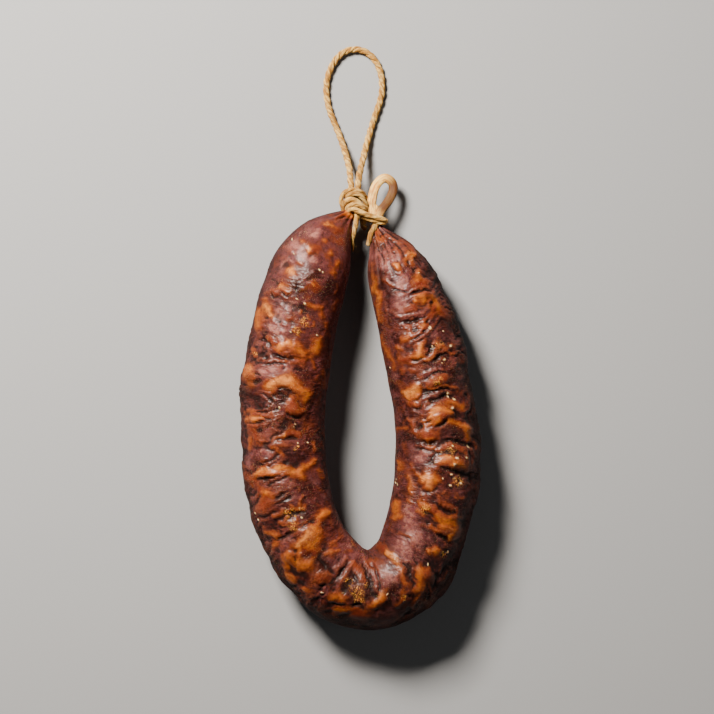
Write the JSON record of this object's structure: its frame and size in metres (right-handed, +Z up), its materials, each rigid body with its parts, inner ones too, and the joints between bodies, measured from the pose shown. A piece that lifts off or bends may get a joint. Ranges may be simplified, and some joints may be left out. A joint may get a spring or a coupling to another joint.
{
  "type": "cured sausage",
  "caption": "Horseshoe of dry-cured sausage with wrinkled, fat-flecked casing, its ends tied with twine that forms a hanging loop.",
  "frame": {"origin": "on the surface that the sausage lies on, at the middle of the outline of the sausage, its knot and the folded casing end, without the hanging loop", "axes": "+Z up out of the surface, +Y along the sausage's length towards its tied ends, +X to the right seen from above with the tied ends away from the viewer"},
  "size_m": [0.1012, 0.2469, 0.0358],
  "materials": {
    "cured_casing": "semi-gloss, wrinkled",
    "dried_casing": "satin",
    "twine": "matt, twisted"
  },
  "bodies": {
    "root": {"sausage": "cured_casing", "casing_eye": "dried_casing", "knot": "twine", "twine_loop": "twine"}
  },
  "joints": []
}
